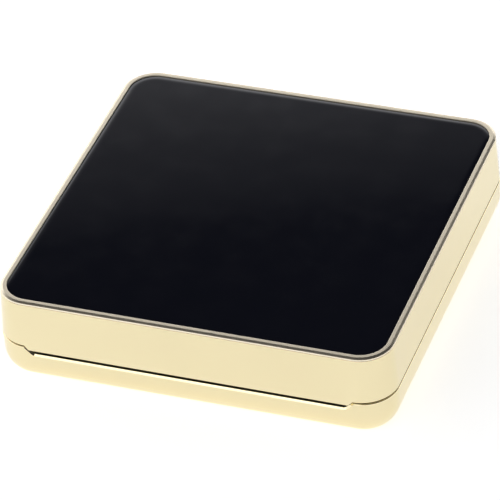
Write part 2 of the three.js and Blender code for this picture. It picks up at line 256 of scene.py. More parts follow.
def prism(name, outline, low, high, along, far=None):
    """A flat outline carried straight along X or Y from low to high, where it may change
    into the outline far. The outlines are in (y, z) for X and in (x, z) for Y."""
    outline = np.asarray(outline, float)
    count = len(outline)
    ends = []
    for place, (a, b) in ((low, outline.T), (high, (outline if far is None else far).T)):
        column = np.full(count, place)
        ends.append(np.stack([column, a, b] if along == "X" else [a, column, b], 1))
    faces = strips(2, count, False)
    faces += [list(range(count))[::-1], list(range(count, 2 * count))]
    piece = new_mesh(name, np.concatenate(ends), faces)
    face_outwards(piece)
    return piece


def circle(centre, radius, count=72):
    """Points round a circle."""
    turn = np.linspace(0, 2 * math.pi, count, endpoint=False)
    return np.stack([centre[0] + radius * np.cos(turn), centre[1] + radius * np.sin(turn)], 1)


def turned(name, outline, count=160):
    """An outline of (radius, height) turned round the vertical axis: each point is a ring of
    radius times the cosine and sine of the turn. Both ends are next to the axis."""
    outline = np.asarray(outline, float)
    turn = np.linspace(0, 2 * math.pi, count, endpoint=False)
    radius = np.repeat(outline[:, :1], count, 1)
    height = np.repeat(outline[:, 1:], count, 1)
    points = np.stack([radius * np.cos(turn), radius * np.sin(turn), height], -1).reshape(-1, 3)
    faces = strips(len(outline), count, False)
    last = (len(outline) - 1) * count
    faces += [list(range(count))[::-1], list(range(last, last + count))]
    return new_mesh(name, points, faces)


def square_field(name, half, corner, low, height, count, crowd):
    """A rounded square plate whose top is a height field. A square grid is bent so that its
    corner cells follow the round corners; crowd above 1 packs the rows towards the edges."""
    t = np.linspace(-1, 1, count)
    u = np.sign(t) * (1 - (1 - np.abs(t)) ** crowd)
    x, y = np.meshgrid(u * half, u * half, indexing="xy")
    core = half - corner
    dx = np.clip((np.abs(x) - core) / corner, 0, 1)
    dy = np.clip((np.abs(y) - core) / corner, 0, 1)
    both = (dx > 0) & (dy > 0)
    px = np.where(both, np.sign(x) * (core + corner * dx * np.sqrt(1 - dy**2 / 2)), x)
    py = np.where(both, np.sign(y) * (core + corner * dy * np.sqrt(1 - dx**2 / 2)), y)
    inner = np.hypot(np.maximum(np.abs(px) - core, 0), np.maximum(np.abs(py) - core, 0))
    edge = corner - np.where(
        (np.abs(px) > core) & (np.abs(py) > core), inner,
        np.maximum(np.maximum(np.abs(px), np.abs(py)) - core, -core),
    )
    top = np.stack([px, py, height(px, py, edge)], -1).reshape(-1, 3)
    i, j = np.meshgrid(np.arange(count - 1), np.arange(count - 1), indexing="ij")
    a = i * count + j
    faces = np.stack([a, a + 1, a + count + 1, a + count], -1).reshape(-1, 4).tolist()
    n = np.arange(count)
    loop = np.concatenate([
        n, n[1:] * count + count - 1, (count - 1) * count + n[:-1][::-1], n[1:-1][::-1] * count,
    ])
    rim = top[loop].copy()
    rim[:, 2] = low
    start = len(top)
    below = start + np.arange(len(loop))
    after = np.roll(np.arange(len(loop)), -1)
    faces += np.stack([below, below[after], loop[after], loop], -1).tolist()
    faces.append(below[::-1].tolist())
    return new_mesh(name, np.concatenate([top, rim]), faces)


def face_outwards(piece):
    """Points every face of a closed mesh outwards."""
    work = bmesh.new()
    work.from_mesh(piece.data)
    bmesh.ops.recalc_face_normals(work, faces=work.faces)
    work.to_mesh(piece.data)
    work.free()


def carve(piece, tool, operation="DIFFERENCE"):
    """Cuts, joins or crosses a piece with a tool, which is used up."""
    step = piece.modifiers.new("carve", "BOOLEAN")
    step.operation = operation
    step.solver = "EXACT"
    step.object = tool
    bpy.context.view_layer.update()
    graph = bpy.context.evaluated_depsgraph_get()
    shaped = bpy.data.meshes.new_from_object(piece.evaluated_get(graph))
    piece.modifiers.clear()
    old, piece.data = piece.data, shaped
    shaped.name = piece.name
    bpy.data.meshes.remove(old)
    bpy.data.meshes.remove(tool.data)


def smooth(piece, angle=28):
    """Smooth shading with crisp edges where two faces meet at more than the angle."""
    piece.data.shade_smooth()
    piece.data.set_sharp_from_angle(angle=math.radians(angle))
    keep = piece.modifiers.new("flat faces stay flat", "WEIGHTED_NORMAL")
    keep.keep_sharp = True
    keep.weight = 80


def place(piece, node, slot_name, material, body):
    """Hands a finished piece its material and its body, and hides the CAD node it stands for; slot_name
    is not used.
    """
    piece.data.materials.clear()
    piece.data.materials.append(material)
    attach(piece, body)
    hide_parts(node)


def finish_node(node, material):
    """Gives a CAD node that stays in view its material."""
    mesh = frame["nodes"][node].data
    mesh.materials.clear()
    mesh.materials.append(material)


# ------------------------------------------------------------------ materials
def add(tree, kind, settings=None, links=None):
    """Adds a node, sets its properties or input values, and links outputs into its inputs."""
    node = tree.nodes.new(kind)
    for key, value in (settings or {}).items():
        if isinstance(key, str) and hasattr(node, key):
            setattr(node, key, value)
        else:
            node.inputs[key].default_value = value
    for key, source in (links or {}).items():
        tree.links.new(source, node.inputs[key])
    return node


def material(name, base, roughness, metallic=0.0, more=None):
    """A new material with its Principled shader set; returns material, tree and shader."""
    made = bpy.data.materials.new(name)
    made.use_nodes = True
    tree = made.node_tree
    shader = tree.nodes["Principled BSDF"]
    shader.inputs["Base Color"].default_value = (*base, 1)
    shader.inputs["Roughness"].default_value = roughness
    shader.inputs["Metallic"].default_value = metallic
    for key, value in (more or {}).items():
        shader.inputs[key].default_value = value
    return made, tree, shader


def noise(tree, size_mm, detail=2.0, stretch=(1, 1, 1), rough=0.5):
    """Noise on Object coordinates whose blobs are about size_mm across."""
    where = add(tree, "ShaderNodeTexCoord").outputs["Object"]
    drawn = add(tree, "ShaderNodeMapping", {"Scale": stretch}, {"Vector": where})
    return add(
        tree, "ShaderNodeTexNoise",
        {"Scale": 1 / (size_mm * MM), "Detail": detail, "Roughness": rough},
        {"Vector": drawn.outputs["Vector"]},
    )


def spread(tree, source, low, high):
    """Maps noise, which lies mostly between 0.35 and 0.65, to the range low..high."""
    return add(
        tree, "ShaderNodeMapRange",
        {"From Min": 0.35, "From Max": 0.65, "To Min": low, "To Max": high}, {"Value": source},
    ).outputs["Result"]


def bump(tree, shader, source, depth_mm):
    """Raises the surface by up to depth_mm where the pattern is high."""
    settings = {"Distance": depth_mm * MM, "Strength": 1.0}
    node = add(tree, "ShaderNodeBump", settings, {"Height": source})
    tree.links.new(node.outputs["Normal"], shader.inputs["Normal"])


def tint(tree, shader, source, dark, light):
    """Colour that runs between two tones along a 0..1 pattern."""
    ramp = add(tree, "ShaderNodeValToRGB", None, {"Fac": source})
    ramp.color_ramp.elements[0].position = 0.3
    ramp.color_ramp.elements[1].position = 0.7
    ramp.color_ramp.elements[0].color = (*dark, 1)
    ramp.color_ramp.elements[1].color = (*light, 1)
    tree.links.new(ramp.outputs["Color"], shader.inputs["Base Color"])


def eased(tree, source, start, end):
    """Runs smoothly from 0 at start to 1 at end."""
    return add(
        tree, "ShaderNodeMapRange",
        {"From Min": start, "From Max": end, "interpolation_type": "SMOOTHSTEP"}, {"Value": source},
    ).outputs["Result"]


def sums(tree, operation, *terms):
    """One arithmetic node on numbers and outputs."""
    node = add(tree, "ShaderNodeMath", {"operation": operation})
    for slot, term in zip(node.inputs, terms):
        if isinstance(term, (int, float)):
            slot.default_value = term
        else:
            tree.links.new(term, slot)
    return node.outputs["Value"]


def scaled(base, factor):
    """A colour made darker or lighter."""
    return tuple(min(1.0, c * factor) for c in base)


def metallised_abs(base):
    """ABS, moulded, vacuum-metallised and lacquered: a near-mirror with faint orange peel
    a couple of millimetres across and fine handling marks in the gloss."""
    made, tree, shader = material("vacuum_metallised_abs", base, 0.13, 1.0)
    peel = noise(tree, 2.2, 1.0)
    bump(tree, shader, peel.outputs["Fac"], 0.0016)
    marks = noise(tree, 9.0, 4.0, (1, 1, 2.5))
    tree.links.new(spread(tree, marks.outputs["Fac"], 0.11, 0.17), shader.inputs["Roughness"])
    tint(tree, shader, noise(tree, 14.0, 1.0).outputs["Fac"], scaled(base, 0.985), scaled(base, 1.0))
    return made


def satin_aluminium(base):
    """Aluminium ring, bead-blasted and anodised champagne: a soft, grainy sheen."""
    made, tree, shader = material("anodised_aluminium_satin", base, 0.3, 1.0)
    # Blasting pits are 0.05 mm; they are drawn 0.12 mm across so that they can show.
    grain = noise(tree, 0.12, 2.0)
    bump(tree, shader, grain.outputs["Fac"], 0.004)
    tree.links.new(spread(tree, grain.outputs["Fac"], 0.3, 0.42), shader.inputs["Roughness"])
    return made


def polished_acrylic(base):
    """Black acrylic sheet, die-cut and polished: deep gloss with barely visible haze."""
    made, tree, shader = material("polished_black_acrylic", base, 0.05, 0.0, {"IOR": 1.49})
    haze = noise(tree, 6.0, 5.0)
    tree.links.new(spread(tree, haze.outputs["Fac"], 0.035, 0.07), shader.inputs["Roughness"])
    bump(tree, shader, noise(tree, 12.0, 0.0).outputs["Fac"], 0.002)
    return made


def textured_abs(base):
    """Black ABS, injection moulded in a spark-eroded tool: fine even grain."""
    made, tree, shader = material("spark_textured_abs", base, 0.42, 0.0, {"IOR": 1.53})
    grain = noise(tree, 0.18, 3.0)
    bump(tree, shader, grain.outputs["Fac"], 0.012)
    tree.links.new(spread(tree, grain.outputs["Fac"], 0.36, 0.5), shader.inputs["Roughness"])
    return made


def silvered_glass(base):
    """Float glass silvered on its back: a clean mirror with a trace of surface haze."""
    made, tree, shader = material("silvered_float_glass", base, 0.02, 1.0)
    haze = noise(tree, 11.0, 3.0)
    tree.links.new(spread(tree, haze.outputs["Fac"], 0.012, 0.03), shader.inputs["Roughness"])
    return made


def stamped_aluminium():
    """Thin aluminium sheet, deep drawn: bright with drawing lines along X."""
    base = linear("D9DADB")
    made, tree, shader = material("deep_drawn_aluminium", base, 0.26, 1.0)
    lines = noise(tree, 0.25, 3.0, (0.06, 1, 1))
    bump(tree, shader, lines.outputs["Fac"], 0.004)
    tree.links.new(spread(tree, lines.outputs["Fac"], 0.2, 0.34), shader.inputs["Roughness"])
    return made


def pressed_powder(base):
    """Talc and mica powder, pressed: matte and slightly mottled with tiny pits and glints."""
    made, tree, shader = material(
        "pressed_talc_powder", base, 0.85, 0.0, {"IOR": 1.45, "Sheen Weight": 0.25}
    )
    mottle = noise(tree, 1.6, 6.0, rough=0.65)
    tint(tree, shader, mottle.outputs["Fac"], scaled(base, 0.9), scaled(base, 1.05))
    pits = noise(tree, 0.14, 2.0)
    bump(tree, shader, pits.outputs["Fac"], 0.02)
    tree.links.new(spread(tree, pits.outputs["Fac"], 0.7, 0.95), shader.inputs["Roughness"])
    return made


def flocked_velour(base):
    """Cotton velour: short upright pile with a soft bloom at grazing angles."""
    made, tree, shader = material(
        "flocked_cotton_velour", base, 0.95, 0.0, {"Sheen Weight": 0.7, "Sheen Roughness": 0.4}
    )
    pile = noise(tree, 0.22, 4.0)
    bump(tree, shader, pile.outputs["Fac"], 0.09)
    nap = noise(tree, 5.0, 3.0)
    tint(tree, shader, nap.outputs["Fac"], scaled(base, 0.88), scaled(base, 1.04))
    return made


def woven_satin(base):
    """Polyester satin ribbon: fine warp threads along its length, a silky sheen across."""
    made, tree, shader = material(
        "woven_polyester_satin", base, 0.42, 0.0, {"Sheen Weight": 0.3, "Anisotropic": 0.6}
    )
    # Warp threads are 0.08 mm apart; they are drawn at 0.25 mm so that they can show.
    threads = add(
        tree, "ShaderNodeTexWave",
        {"wave_type": "BANDS", "bands_direction": "Y", "Scale": 1 / (0.25 * MM) / (2 * math.pi),
         "Distortion": 0.6, "Detail": 1.0},
        {"Vector": add(tree, "ShaderNodeTexCoord").outputs["Object"]},
    )
    bump(tree, shader, threads.outputs["Fac"], 0.015)
    tint(tree, shader, threads.outputs["Fac"], scaled(base, 0.8), scaled(base, 1.25))
    return made


def polyester_film():
    """Clear polyester film, die-cut: almost invisible, with glossy glints."""
    made, tree, shader = material(
        "clear_polyester_film", linear("F2F6F7"), 0.08, 0.0, {"IOR": 1.58, "Alpha": 0.08}
    )
    waves = noise(tree, 9.0, 2.0)
    bump(tree, shader, waves.outputs["Fac"], 0.08)
    tree.links.new(spread(tree, waves.outputs["Fac"], 0.05, 0.12), shader.inputs["Roughness"])
    return made


def plated_steel(name, code, roughness, size_mm, stretch):
    """Steel, drawn or sheared and then plated: metallic with marks along its working."""
    base = linear(code)
    made, tree, shader = material(name, base, roughness, 1.0)
    marks = noise(tree, size_mm, 3.0, stretch)
    bump(tree, shader, marks.outputs["Fac"], 0.004)
    tree.links.new(
        spread(tree, marks.outputs["Fac"], roughness * 0.8, roughness * 1.25), shader.inputs["Roughness"]
    )
    return made


def soft_sheet(name, code, roughness, size_mm, depth_mm):
    """A matte sheet such as foam tape or coated paper, with a fine even tooth."""
    base = linear(code)
    made, tree, shader = material(name, base, roughness)
    tooth = noise(tree, size_mm, 4.0)
    bump(tree, shader, tooth.outputs["Fac"], depth_mm)
    tint(tree, shader, tooth.outputs["Fac"], scaled(base, 0.93), scaled(base, 1.03))
    return made


# ------------------------------------------------------------------ stuffing the puff
PUFF_PRESSURE = 4.0
PUFF_EXCESS = 0.05           # how much too large the velour is cut, as a share
PUFF_FRAMES = 20
PUFF_CAP = 2.5 * MM          # no point moves further than this
BAND_WIDTH = 12 * MM
BAND_LIFT = 0.12 * MM        # gap between the band and the velour
BAND_WALL = 0.14 * MM

# ------------------------------------------------------------------ the room's glow
# The room glows up to an edge. The edge is a sine of height: low on the right, higher at the
# back left and highest at the front left. The stops run from half below it to half above it.
LOW_EDGE = 0.28
BACK_LIFT = 0.32
FRONT_LIFT = 0.36
GLOW_STOPS = (
    (0.0, 1.2), (0.36, 2.1), (0.44, 1.5), (0.468, 0.4), (0.482, 0.2), (0.492, 0.14), (0.497, 0.1),
    (0.5, 0.055), (0.51, 0.045),
)

# ------------------------------------------------------------------ shared places
HINGE = np.array(frame["joints"][0]["pos_m"][1:])
KNUCKLE = 1.4 * MM
BORE = 0.8 * MM
SWEEP = 3.6 * MM             # room for the lid's back edge as it turns
SLOT_ABOVE = 2.9 * MM
SLOT_GAP = 0.3 * MM
BASE_KNUCKLES = np.array([[-24, -17], [-7, 7], [17, 24]]) * MM
LID_KNUCKLES = np.array([[-16.7, -7.3], [7.3, 16.7]]) * MM
NOTCH_TOP = 31.25 * MM
NOTCH_BOTTOM = 29.63 * MM
NOTCH_ROUND = 1.0 * MM
LEDGE = 6.91 * MM
LEDGE_CHAMFER = 0.31 * MM
LIP = 7.95 * MM
LIP_CREASE = 9.2 * MM
LIP_FLARE = 0.3 * MM
LIP_END_GAP = 0.4 * MM
LIP_INNER = -36.1 * MM
LIP_BLEND = 1.5 * MM         # height over which the lip runs into the lid's wall
FOOT = 4.3 * MM              # lower end of the posts under the knuckles
FLOOR = 1.5 * MM             # inside floor of the base
LABEL = 13 * MM              # radius of the label's recess
LABEL_DEPTH = 0.3 * MM
SEAT = 0.05 * MM             # hairline between pieces that sit together
AXIS = 0.01 * MM             # next to the axis of a turned piece
MIDDLE = 12 * MM             # how far in from the edge a shell's section reaches
FAR = 60 * MM                # longer than the case, for cutters


def box_outline(low, high):
    """The four corners of a rectangle."""
    return [(low[0], low[1]), (high[0], low[1]), (high[0], high[1]), (low[0], high[1])]


def notch_outline(top_half, bottom_half, low, high, seam, radius):
    """A trapezium with slanted ends and rounded lower corners, open towards the top."""
    slope = (top_half - bottom_half) / (seam - low)
    reach = top_half + (high - seam) * slope
    right = fillet([(0, low), (bottom_half, low), (reach, high)], [radius], 8)
    left = right[::-1] * np.array([-1, 1])
    return np.concatenate([left[:-1], right])


# ------------------------------------------------------------------ pieces
class COMPACT_OT_base(bpy.types.Operator):
    """Base shell with its finger notch, hinge knuckles and label recess"""

    bl_idname = "compact.base"
    bl_label = "Base shell"

    def execute(self, context):
        s = context.scene.compact_case
        core = s.half - s.corner
        top = s.seam - s.seam_gap / 2
        inner = s.half - s.wall
        outline = fillet(
            [(s.half - MIDDLE, 0), (s.half - s.base_draft, 0), (s.half, top), (inner, top),
             (inner - s.base_draft, FLOOR), (s.half - MIDDLE, FLOOR)],
            [s.base_round, s.groove, 0.12 * MM, s.base_round - s.wall], 12,
        )
        shell = square_loft("base_casing", outline, core)
        carve(shell, prism("sweep", circle(HINGE, SWEEP, 120), -FAR, FAR, "X"))
        notch = notch_outline(NOTCH_TOP, NOTCH_BOTTOM, LEDGE, s.seam + 2 * MM, s.seam, NOTCH_ROUND)
        carve(shell, prism("notch", notch, -s.half - 3 * MM, -inner + 1 * MM, "Y"))
        # A 45 degree cutter round the notch: wide in front of the wall, tight behind it.
        slant = math.atan2(s.seam - LEDGE, NOTCH_TOP - NOTCH_BOTTOM)
        grow = LEDGE_CHAMFER + 0.3 * MM
        wide = notch_outline(
            NOTCH_TOP + grow / math.sin(slant), NOTCH_BOTTOM + grow * math.tan(slant / 2),
            LEDGE - grow, s.seam + 2 * MM, s.seam, NOTCH_ROUND + grow,
        )
        carve(shell, prism("chamfer", wide, -s.half - 0.3 * MM, -s.half + LEDGE_CHAMFER, "Y", notch))
        for low, high in BASE_KNUCKLES:
            back, front = HINGE[0] + KNUCKLE, HINGE[0] - KNUCKLE
            post = [(front, top - 0.02 * MM), (back, top - 0.02 * MM), (back, HINGE[1])]
            turn = np.linspace(0, math.pi, 30)[1:]
            dome = HINGE + KNUCKLE * np.stack([np.cos(turn), np.sin(turn)], 1)
            foot = box_outline((inner - 0.04 * MM, FOOT), (back, top))
            carve(shell, prism("foot", foot, low, high, "X"), "UNION")
            carve(shell, prism("post", np.concatenate([post, dome]), low, high, "X"), "UNION")
            carve(shell, prism("bore", circle(HINGE, BORE, 40), low - MM, high + MM, "X"))
        recess = [(AXIS, -MM), (LABEL, -MM), (LABEL, LABEL_DEPTH), (AXIS, LABEL_DEPTH)]
        carve(shell, turned("recess", recess))
        smooth(shell)
        place(shell, "base_shell", "gold_metallised_abs", metallised_abs(s.gold), "base")
        return {"FINISHED"}


class COMPACT_OT_lid(bpy.types.Operator):
    """Lid shell with its deck, thumb lip and hinge knuckles"""

    bl_idname = "compact.lid"
    bl_label = "Lid shell"

    def execute(self, context):
        s = context.scene.compact_case
        core = s.half - s.corner
        bottom = s.seam + s.seam_gap / 2
        hollow, recess = 35.4 * MM, 36.6 * MM
        deck_low, deck_high = 15.2 * MM, 16.2 * MM
        middle = s.half - MIDDLE
        outline = fillet(
            [(middle, deck_low), (hollow - 0.1 * MM, deck_low), (hollow, bottom), (s.half, bottom),
             (s.half - s.lid_draft, s.lid_top), (recess, s.lid_top), (recess, deck_high),
             (middle, deck_high)],
            [0.5 * MM, 0.12 * MM, s.groove, 0.06 * MM, 0.05 * MM, 0.1 * MM], 8,
        )
        shell = square_loft("lid_casing", outline, core)
        ceiling = HINGE[1] + SLOT_ABOVE
        for low, high in BASE_KNUCKLES:
            slot = box_outline((HINGE[0] - 3 * MM, 0), (s.half + 2 * MM, ceiling))
            carve(shell, prism("slot", slot, low - SLOT_GAP, high + SLOT_GAP, "X"))
        for low, high in LID_KNUCKLES:
            block = box_outline((HINGE[0] - KNUCKLE, bottom), (HINGE[0] + KNUCKLE, ceiling))
            carve(shell, prism("block", block, low, high, "X"), "UNION")
            carve(shell, prism("bore", circle(HINGE, BORE, 40), low - MM, high + MM, "X"))
        section = fillet(
            [(LIP_INNER, LIP_CREASE + LIP_BLEND), (LIP_INNER, LIP), (-s.half - LIP_FLARE, LIP),
             (-s.half + 0.4 * MM, LIP_CREASE + LIP_BLEND)],
            [0.1 * MM, 0.12 * MM], 8,
        )
        slope = (NOTCH_TOP - NOTCH_BOTTOM) / (s.seam - LEDGE)
        wide = NOTCH_TOP - LIP_END_GAP
        narrow = wide - slope * (s.seam - LIP)
        ends = notch_outline(wide, narrow, LIP - 0.01 * MM, LIP_CREASE + MM, s.seam, 0.7 * MM)
        lip = prism("lip", section, -FAR, FAR, "X")
        carve(lip, prism("ends", ends, -s.half - 3 * MM, LIP_INNER + MM, "Y"), "INTERSECT")
        carve(shell, lip, "UNION")
        smooth(shell)
        gold = bpy.data.materials["vacuum_metallised_abs"]
        place(shell, "lid_shell", "gold_metallised_abs", gold, "lid")
        return {"FINISHED"}


class COMPACT_OT_bezel(bpy.types.Operator):
    """Satin ring round the inlay"""

    bl_idname = "compact.bezel"
    bl_label = "Bezel"

    def execute(self, context):
        s = context.scene.compact_case
        outer = s.half - s.lid_draft
        inner = 36.05 * MM
        skirt = 36.55 * MM
        low = 16.25 * MM
        seat = s.lid_top + SEAT
        shoulder, slope = s.rim_top - 0.23 * MM, 0.49 * MM
        corners = [
            (inner, low), (skirt, low), (skirt, seat), (outer, seat), (outer, shoulder),
            (outer - slope, s.rim_top), (inner, s.rim_top), (inner, low + 0.01 * MM),
        ]
        radii = np.array([0.04, 0.04, 0.02, 0.12, 0.12, 0.08]) * MM
        outline = fillet(corners, radii, 8)
        ring = square_loft("bezel_ring", outline[:-1], s.half - s.corner, ring=True)
        smooth(ring)
        place(ring, "lid_bezel", "bezel_satin_metal", satin_aluminium(s.pewter), "lid")
        return {"FINISHED"}


class COMPACT_OT_inlay(bpy.types.Operator):
    """Polished inlay plate with a softly rounded edge"""

    bl_idname = "compact.inlay"
    bl_label = "Inlay"

    def execute(self, context):
        s = context.scene.compact_case
        half, corner = 36.0 * MM, 4.89 * MM
        roll, fall, crown = 1.6 * MM, 0.045 * MM, 0.04 * MM

        def height(x, y, edge):
            """Flat with a slight crown; the last stretch before the edge rolls over."""
            over = np.clip(1 - edge / roll, 0, 1)
            dome = crown * (1 - (x / half) ** 2) * (1 - (y / half) ** 2)
            return s.inlay_edge + fall * (1 - over**4) + dome

        plate = square_field("inlay_plate", half, corner, 16.5 * MM, height, 181, 2.0)
        smooth(plate, 40)
        place(plate, "lid_inlay", "black_acrylic", polished_acrylic(s.black), "lid")
        return {"FINISHED"}


class COMPACT_OT_tray(bpy.types.Operator):
    """Moulded tray that carries the pan"""

    bl_idname = "compact.tray"
    bl_label = "Inner tray"

    def execute(self, context):
        s = context.scene.compact_inside
        low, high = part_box("inner_tray")
        half, well, well_z = high.x, 29.3 * MM, 4.1 * MM
        under = well + 2 * MM
        outline = fillet(
            [(20 * MM, well_z - MM), (under, well_z - MM), (under, low.z), (half - 0.1 * MM, low.z),
             (half, high.z), (well, high.z), (well, well_z), (20 * MM, well_z)],
            [0.2 * MM, 0.1 * MM, 3.15 * MM, 0.3 * MM, 0.25 * MM, 0.4 * MM], 8,
        )
        tray = square_loft("tray_moulding", outline, 31.1 * MM, 3.0 * MM)
        turn = np.linspace(-math.pi / 2, math.pi / 2, 40)
        ball = turned("dip", 9 * MM * np.stack([np.cos(turn) + 1e-4, np.sin(turn)], 1), 120)
        ball.data.transform(Matrix.Translation((half - 3.2 * MM, 0, high.z + 8.4 * MM)))
        carve(tray, ball)
        carve(tray, prism("sweep", circle(HINGE, SWEEP, 120), -FAR, FAR, "X"))
        smooth(tray)
        place(tray, "inner_tray", "black_abs", textured_abs(s.plastic), "base")
        return {"FINISHED"}


class COMPACT_OT_powder(bpy.types.Operator):
    """Aluminium pan, pressed powder with its quilted pattern, film and adhesive pad"""

    bl_idname = "compact.powder"
    bl_label = "Pan and powder"

    def execute(self, context):
        s = context.scene.compact_inside
        low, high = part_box("powder_pan")
        half, wall = high.x, 0.4 * MM
        outline = fillet(
            [(15 * MM, low.z), (half, low.z), (half, high.z), (half - wall, high.z),
             (half - wall, low.z + wall), (15 * MM, low.z + wall)],
            [0.8 * MM, 0.19 * MM, 0.19 * MM, 0.6 * MM], 8,
        )
        pan = square_loft("pan_stamping", outline, half - 3.1 * MM, 2.0 * MM)
        smooth(pan)
        place(pan, "powder_pan", "pan_aluminium", stamped_aluminium(), "base")

        cake_low, cake_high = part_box("powder_cake")
        top = cake_high.z

        def height(x, y, edge):
            """Diagonal pressed lines inside a plain border that slopes down to the pan."""
            along = (x + y) / math.sqrt(2) / s.pitch
            across = (x - y) / math.sqrt(2) / s.pitch
            line = np.minimum(np.abs(along - np.round(along)), np.abs(across - np.round(across)))
            quilt = np.clip(line / 0.5, 0, 1) ** 0.55
            inside = np.clip((edge - 3.6 * MM) / (0.5 * MM), 0, 1)
            border = np.clip(edge / (0.9 * MM), 0, 1)
            groove = np.exp(-(((edge - 3.2 * MM) / (0.28 * MM)) ** 2))
            return (
                top - s.emboss * (1 - quilt) * inside - 0.55 * s.emboss * groove
                - 0.45 * MM * (1 - np.sqrt(1 - (1 - border) ** 2))
            )

        cake = square_field("embossed_powder", cake_high.x, 2.6 * MM, cake_low.z, height, 281, 1.0)
        smooth(cake, 50)
        place(cake, "powder_cake", "pressed_powder", pressed_powder(s.powder), "base")
        finish_node("powder_film", polyester_film())
        finish_node("pan_adhesive", soft_sheet("acrylic_foam_tape", "EFEBE0", 0.7, 0.3, 0.01))
        return {"FINISHED"}


class COMPACT_OT_puff(bpy.types.Operator):
    """Round puff with a welded edge, and its satin finger band"""

    bl_idname = "compact.puff"
    bl_label = "Puff"

    def execute(self, context):
        s = context.scene.compact_inside
        low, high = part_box("puff")
        radius = high.x
        body = radius - s.puff_seam
        middle, rise = (low.z + high.z) / 2, (high.z - low.z) / 2
        puff = self.slack(body, radius, middle, rise)
        self.stuff(context, puff, body, low.z, high.z)
        # Pile-side rounding, once the stuffed shape stands still.
        finer = puff.modifiers.new("finer", "SUBSURF")
        finer.levels = finer.render_levels = 1
        puff.data.shade_smooth()
        place(puff, "puff", "puff_velour", flocked_velour(s.velour), "base")
        self.band(context, s, puff, high, radius)
        return {"FINISHED"}

    def slack(self, body, radius, middle, rise):
        """Two velour discs welded at the edge, before they are stuffed: the crown falls as
        one minus the fourth power of the radius, and the weld is a flat flange."""
        out = np.linspace(0.02 * MM / body, 1, 34) ** 0.85
        crown = rise * (0.1 + 0.72 * (1 - out**4))
        upper = np.stack([body * out, middle + crown], 1)[::-1]
        lower = np.stack([body * out, middle - crown], 1)
        thin = 0.1 * rise
        weld = [(radius, middle - thin), (radius, middle + thin)]
        return turned("velour_puff", np.concatenate([lower, weld, upper]), 144)

    def stuff(self, context, puff, body, low, high):
        """Cloth simulation: pressure swells the two discs while the weld stays put, and the
        velour is cut a few per cent too large, so it gathers along the weld."""
        mesh = puff.data
        start = np.empty(len(mesh.vertices) * 3)
        mesh.vertices.foreach_get("co", start)
        start = start.reshape(-1, 3)
        held = np.hypot(start[:, 0], start[:, 1]) > 0.985 * body
        weld = puff.vertex_groups.new(name="weld")
        weld.add(np.flatnonzero(held).tolist(), 1.0, "REPLACE")
        cloth = puff.modifiers.new("stuffing", "CLOTH")
        set_up = cloth.settings
        set_up.quality = 6
        set_up.use_pressure = True
        set_up.uniform_pressure_force = PUFF_PRESSURE
        set_up.shrink_min = -PUFF_EXCESS
        set_up.vertex_group_mass = "weld"
        set_up.effector_weights.gravity = 0
        cloth.collision_settings.use_collision = False
        cloth.point_cache.frame_start = 1
        cloth.point_cache.frame_end = PUFF_FRAMES
        for frame_number in range(1, PUFF_FRAMES + 1):
            context.scene.frame_set(frame_number)
        graph = context.evaluated_depsgraph_get()
        swollen = puff.evaluated_get(graph).to_mesh()
        end = np.empty_like(start).ravel()
        swollen.vertices.foreach_get("co", end)
        end = end.reshape(-1, 3)
        puff.modifiers.remove(cloth)
        context.scene.frame_set(1)
        # The cap comes first; the height is then fitted to the puff's space.
        step = end - start
        far = np.linalg.norm(step, axis=1, keepdims=True)
        end = start + step * np.minimum(1, PUFF_CAP / np.maximum(far, 1e-9))
        heights = end[:, 2]
        swing = heights.max() - heights.min()
        end[:, 2] = low + (heights - heights.min()) * (high - low) / swing
        mesh.vertices.foreach_set("co", end.ravel())
        mesh.update()

    def band(self, context, s, puff, high, radius):
        """A satin strip laid on the crown: a flat grid dropped straight down onto the velour."""
        reach = 0.895 * radius
        u = np.linspace(-1, 1, 91)
        v = np.linspace(-1, 1, 25)
        across, along = np.meshgrid(v, u)
        level = np.full_like(along, high.z + 2 * MM)
        points = np.stack([along * reach, across * BAND_WIDTH / 2, level], -1).reshape(-1, 3)
        i, j = np.meshgrid(np.arange(len(u) - 1), np.arange(len(v) - 1), indexing="ij")
        a = i * len(v) + j
        faces = np.stack([a, a + len(v), a + len(v) + 1, a + 1], -1).reshape(-1, 4)
        band = new_mesh("finger_band", points, faces)
        drop = band.modifiers.new("drop", "SHRINKWRAP")
        drop.wrap_method = "PROJECT"
        drop.use_project_z = True
        drop.use_positive_direction = False
        drop.use_negative_direction = True
        drop.wrap_mode = "ABOVE_SURFACE"
        drop.offset = BAND_LIFT
        drop.target = puff
        ease = band.modifiers.new("ease", "SMOOTH")
        ease.iterations = 4
        graph = context.evaluated_depsgraph_get()
        laid = bpy.data.meshes.new_from_object(band.evaluated_get(graph))
        band.modifiers.clear()
        band.data = laid
        laid.name = "finger_band"
        laid.shade_smooth()
        wall = band.modifiers.new("thickness", "SOLIDIFY")
        wall.thickness = BAND_WALL
        wall.offset = 1.0
        place(band, "puff_ribbon", "satin_ribbon", woven_satin(s.ribbon), "base")


